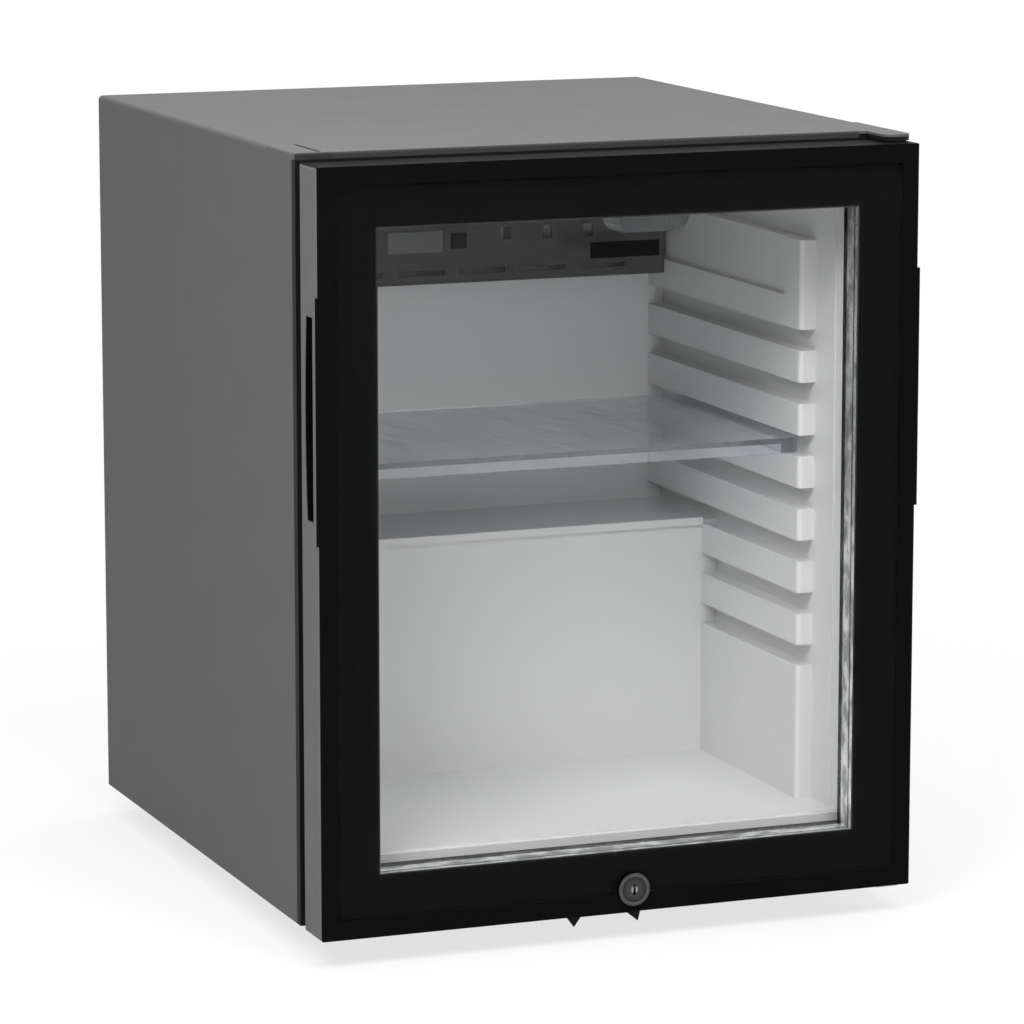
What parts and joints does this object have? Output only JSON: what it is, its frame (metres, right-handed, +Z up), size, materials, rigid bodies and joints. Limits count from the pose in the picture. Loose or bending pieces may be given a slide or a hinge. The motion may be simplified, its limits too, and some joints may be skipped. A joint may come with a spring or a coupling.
{
  "type": "glass door refrigerator",
  "caption": "Small hotel refrigerator with a hinged glass door and lock, a clear sliding shelf, ribbed liner and an absorption cooling unit in its open back.",
  "frame": {"origin": "on the floor, below the middle of the whole object's box", "axes": "+Z up, -Y towards the front of the door, +X to the right as seen from the front"},
  "size_m": [0.405, 0.456, 0.503],
  "materials": {
    "shell_paint": "satin dark grey paint",
    "base_steel": "satin dark grey paint",
    "back_steel": "satin grey paint",
    "foam": "rigid closed-cell foam",
    "liner_plastic": "satin light grey plastic",
    "trim_plastic": "matte dark grey plastic",
    "hinge_plastic": "matte grey plastic",
    "hinge_steel": "zinc-plated steel",
    "screw_steel": "zinc-plated steel",
    "foot_plastic": "matte black plastic",
    "black_steel": "satin black paint",
    "cover_plastic": "matte grey plastic",
    "frosted_lens": "frosted white plastic",
    "circuit_board": "green circuit board",
    "button_plastic": "satin light grey plastic",
    "fin_aluminium": "plain aluminium",
    "lamp_plastic": "satin white plastic",
    "clear_lens": "clear satin plastic",
    "clear_plastic": "clear plastic with a blue tint",
    "unit_paint": "satin black paint",
    "case_aluminium": "plain sheet",
    "box_plastic": "matte black plastic",
    "drain_plastic": "matte grey plastic",
    "door_plastic": "satin grey plastic",
    "front_glass": "clear polished glass",
    "black_print": "black ceramic print",
    "badge_chrome": "polished",
    "spacer_aluminium": "mill finish",
    "rear_glass": "clear polished glass",
    "retainer_plastic": "matte dark grey plastic",
    "seal_rubber": "matte black rubber",
    "bush_plastic": "white nylon",
    "lock_chrome": "polished",
    "lock_steel": "zinc-plated steel"
  },
  "bodies": {
    "cabinet": {"outer_shell": "shell_paint", "base_panel": "base_steel", "rear_wall": "back_steel", "insulation": "foam", "inner_liner": "liner_plastic", "liner_step": "liner_plastic", "shelf_supports": "liner_plastic", "top_trim": "trim_plastic", "blank_cap": "trim_plastic", "hinge_cover": "hinge_plastic", "top_hinge": "hinge_steel", "top_hinge_screws": "screw_steel", "bottom_hinge": "hinge_steel", "bottom_hinge_screws": "screw_steel", "feet": "foot_plastic", "lock_strike": "black_steel", "strike_screws": "screw_steel", "cooling_cover": "cover_plastic", "panel_lens": "frosted_lens", "lamp_board": "circuit_board", "evaporator": "fin_aluminium", "lamp_holder": "lamp_plastic", "lamp_lens": "clear_lens", "upper_strap": "base_steel", "lower_strap": "base_steel", "absorber_vessel": "unit_paint", "return_tube": "unit_paint", "boiler_case": "case_aluminium", "heater": "lock_steel", "condenser_tube": "unit_paint", "condenser_fins": "unit_paint", "absorber_coil": "unit_paint", "port_cover": "back_steel", "control_box": "box_plastic", "power_inlet": "box_plastic", "drain_tube": "drain_plastic", "drip_tray": "drain_plastic"},
    "light_switch": {"light_button": "button_plastic"},
    "bottle_shelf": {"shelf": "clear_plastic"},
    "door": {"door_frame": "door_plastic", "front_glass": "front_glass", "border_print": "black_print", "glass_badge": "badge_chrome", "spacer_bar": "spacer_aluminium", "rear_glass": "rear_glass", "pane_retainer": "retainer_plastic", "gasket": "seal_rubber", "upper_bush": "bush_plastic", "lower_bush": "bush_plastic", "lock_housing": "lock_chrome", "lock_nut": "lock_steel"},
    "lock": {"lock_plug": "lock_chrome", "lock_cam": "lock_steel", "cam_screw": "screw_steel"}
  },
  "joints": [
    {"name": "door_hinge", "type": "hinge", "parent": "cabinet", "child": "door", "pos_m": [0.1905, -0.206, 0.26], "axis": [0, 0, 1], "range_deg": [0, 115]},
    {"name": "lock_turn", "type": "hinge", "parent": "door", "child": "lock", "pos_m": [0.007, -0.21, 0.034], "axis": [0, -1, 0], "range_deg": [0, 90]},
    {"name": "shelf_slide", "type": "slide", "parent": "cabinet", "child": "bottle_shelf", "axis": [0, -1, 0], "range_m": [0, 0.05]},
    {"name": "button_press", "type": "slide", "parent": "cabinet", "child": "light_switch", "axis": [0, 1, 0], "range_m": [0, 0.0015], "stiffness_N_per_m": 400}
  ]
}
